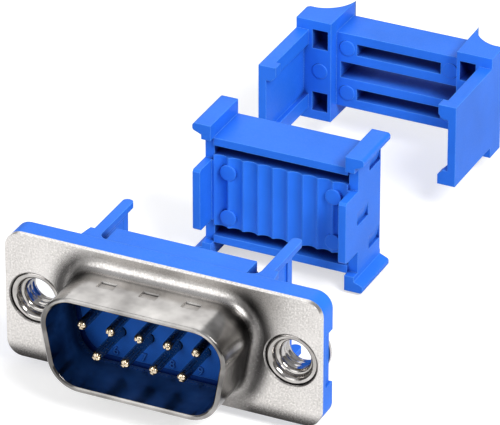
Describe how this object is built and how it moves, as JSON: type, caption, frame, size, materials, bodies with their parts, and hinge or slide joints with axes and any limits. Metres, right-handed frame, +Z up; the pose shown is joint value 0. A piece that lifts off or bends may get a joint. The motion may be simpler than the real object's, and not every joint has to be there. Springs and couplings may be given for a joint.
{
  "type": "d-sub connector",
  "caption": "Plug D connector for flat ribbon cable: plated shell with flange, blue insulating body, round pins, ribbed cable cover and clip-on strain relief.",
  "frame": {"origin": "front face of the flange, halfway between the two threaded inserts, on the axis of the D", "axes": "+X along the connector, to the right seen from the mating side; +Z up, towards the wide side of the D; the mating side faces -Y and the cable side +Y"},
  "size_m": [0.0308, 0.0614, 0.0138],
  "materials": {
    "plated_shell": "satin nickel plate",
    "plated_insert": "bright nickel plate over brass",
    "plated_contact": "thin gold over nickel",
    "blue_plastic": "satin moulded thermoplastic"
  },
  "bodies": {
    "connector": {"front_shell": "plated_shell", "insulator_body": "blue_plastic", "threaded_insert_left": "plated_insert", "threaded_insert_right": "plated_insert", "contact_pin_1": "plated_contact", "contact_pin_2": "plated_contact", "contact_pin_3": "plated_contact", "contact_pin_4": "plated_contact", "contact_pin_5": "plated_contact", "contact_pin_6": "plated_contact", "contact_pin_7": "plated_contact", "contact_pin_8": "plated_contact", "contact_pin_9": "plated_contact"},
    "cable_cover": {"cable_cover": "blue_plastic"},
    "strain_relief": {"strain_relief": "blue_plastic"}
  },
  "joints": [
    {"name": "cover_press", "type": "slide", "parent": "connector", "child": "cable_cover", "axis": [0, -1, 0], "range_m": [0, 0.0185]},
    {"name": "relief_press", "type": "slide", "parent": "cable_cover", "child": "strain_relief", "axis": [0, -1, 0], "range_m": [0, 0.0194]}
  ]
}
